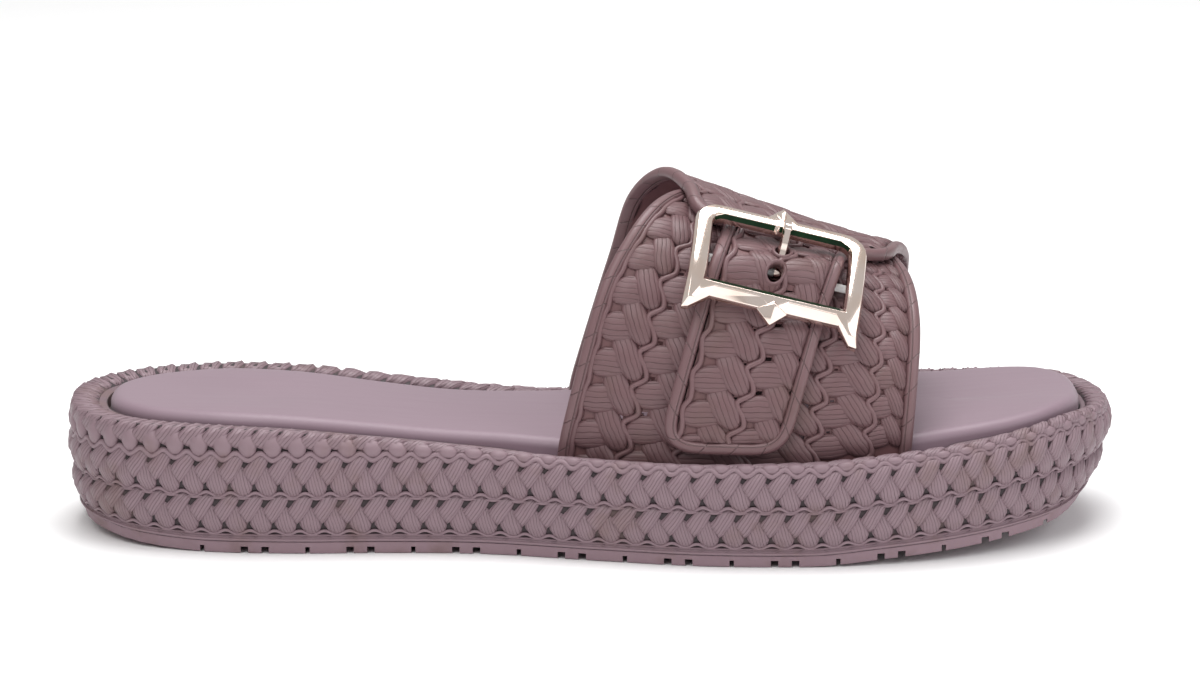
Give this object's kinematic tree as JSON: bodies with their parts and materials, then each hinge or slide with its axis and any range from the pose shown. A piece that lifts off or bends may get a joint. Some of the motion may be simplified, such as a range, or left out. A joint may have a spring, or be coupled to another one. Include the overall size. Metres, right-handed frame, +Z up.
{
  "type": "slide sandal",
  "caption": "Slide sandal with a plaited flatform sole, a padded insole and two woven straps that cross over the foot and close with a metal buckle.",
  "frame": {"origin": "on the floor, under the middle of the sandal's bounding box", "axes": "+X from heel to toe, +Y from the outer (lateral) side to the inner (medial) side, +Z up"},
  "size_m": [0.2661, 0.0966, 0.0896],
  "materials": {
    "outsole": "rough matt moulded rubber, rose taupe",
    "midsole": "satin moulded rubber, rose taupe",
    "insole": "smooth padded imitation leather, mauve taupe",
    "strap_lateral": "satin moulded rubber, rose taupe",
    "strap_medial": "satin moulded rubber, rose taupe",
    "buckle_frame": "polished pale gold plate",
    "buckle_prong": "polished pale gold plate"
  },
  "bodies": {
    "root": {"outsole": "outsole", "midsole": "midsole", "insole": "insole", "strap_lateral": "strap_lateral", "strap_medial": "strap_medial", "buckle_frame": "buckle_frame", "buckle_prong": "buckle_prong"}
  },
  "joints": []
}
